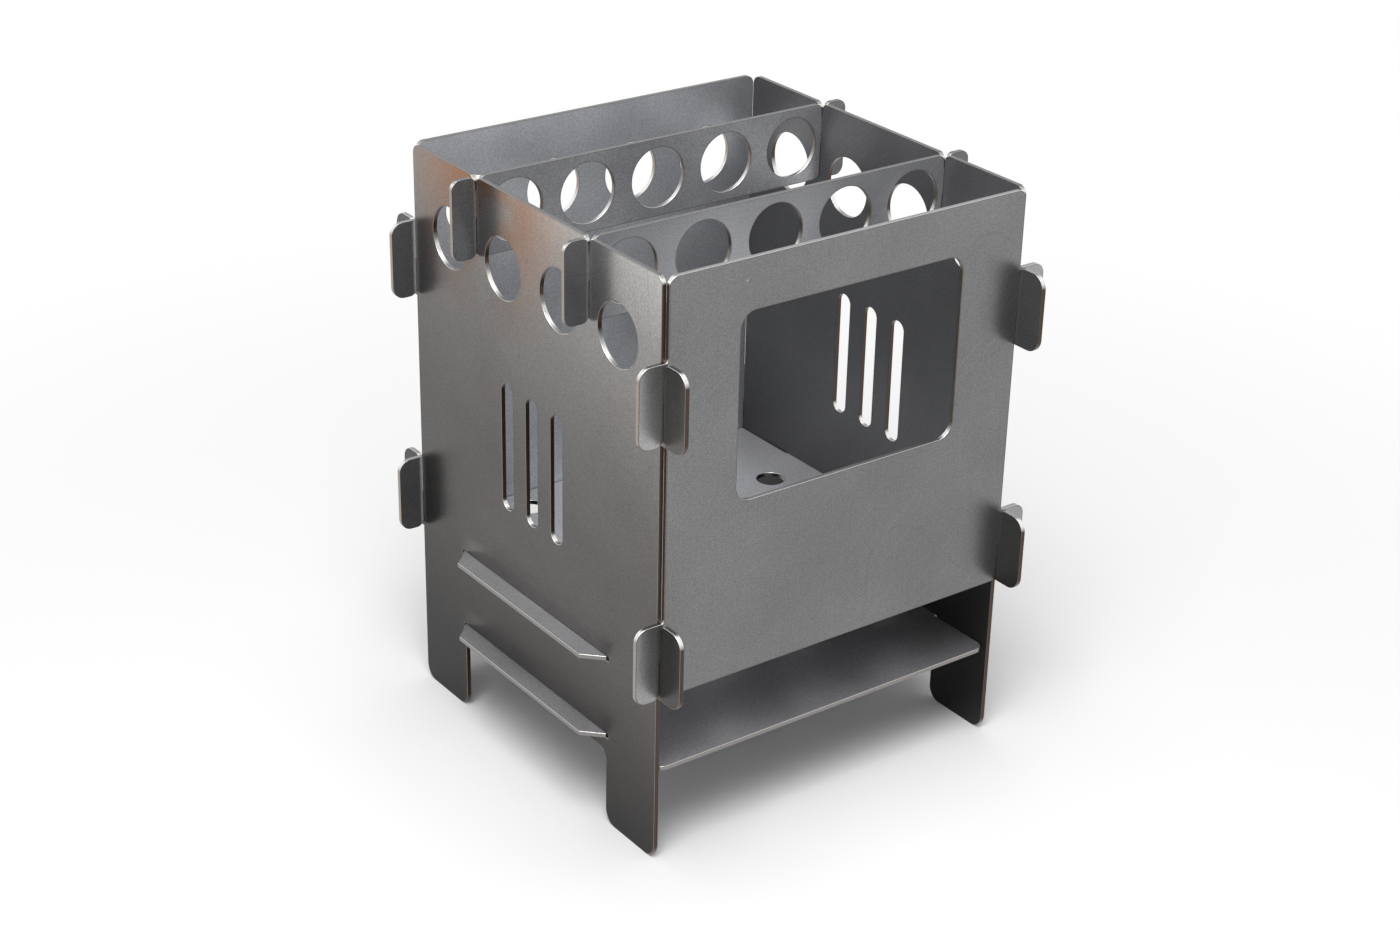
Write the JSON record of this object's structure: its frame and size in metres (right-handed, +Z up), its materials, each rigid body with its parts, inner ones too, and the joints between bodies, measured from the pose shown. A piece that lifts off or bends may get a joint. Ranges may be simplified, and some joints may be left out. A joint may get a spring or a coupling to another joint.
{
  "type": "camping wood stove",
  "caption": "Flat-pack wood stove of slotted sheet steel: a box on legs with a fire window, air holes, lift-out pot bars, a grate and an ash shelf.",
  "frame": {"origin": "on the ground, below the middle of the stove", "axes": "+Z up, the plate with the fire window faces -Y, the left side plate is at -X"},
  "size_m": [0.154, 0.16, 0.194],
  "materials": {
    "sheet_steel": "bare mill-finished sheet, fine vertical grain, laser-cut edges"
  },
  "bodies": {
    "firebox": {"left_side_plate": "sheet_steel", "right_side_plate": "sheet_steel", "fire_grate": "sheet_steel", "ash_shelf": "sheet_steel"},
    "front_plate": {"front_plate": "sheet_steel"},
    "back_plate": {"back_plate": "sheet_steel"},
    "front_pot_bar": {"front_pot_bar": "sheet_steel"},
    "rear_pot_bar": {"rear_pot_bar": "sheet_steel"}
  },
  "joints": [
    {"name": "front_plate_lift", "type": "slide", "parent": "firebox", "child": "front_plate", "axis": [0, 0, 1], "range_m": [0, 0.056]},
    {"name": "back_plate_lift", "type": "slide", "parent": "firebox", "child": "back_plate", "axis": [0, 0, 1], "range_m": [0, 0.056]},
    {"name": "front_pot_bar_lift", "type": "slide", "parent": "firebox", "child": "front_pot_bar", "axis": [0, 0, 1], "range_m": [0, 0.05]},
    {"name": "rear_pot_bar_lift", "type": "slide", "parent": "firebox", "child": "rear_pot_bar", "axis": [0, 0, 1], "range_m": [0, 0.05]}
  ]
}
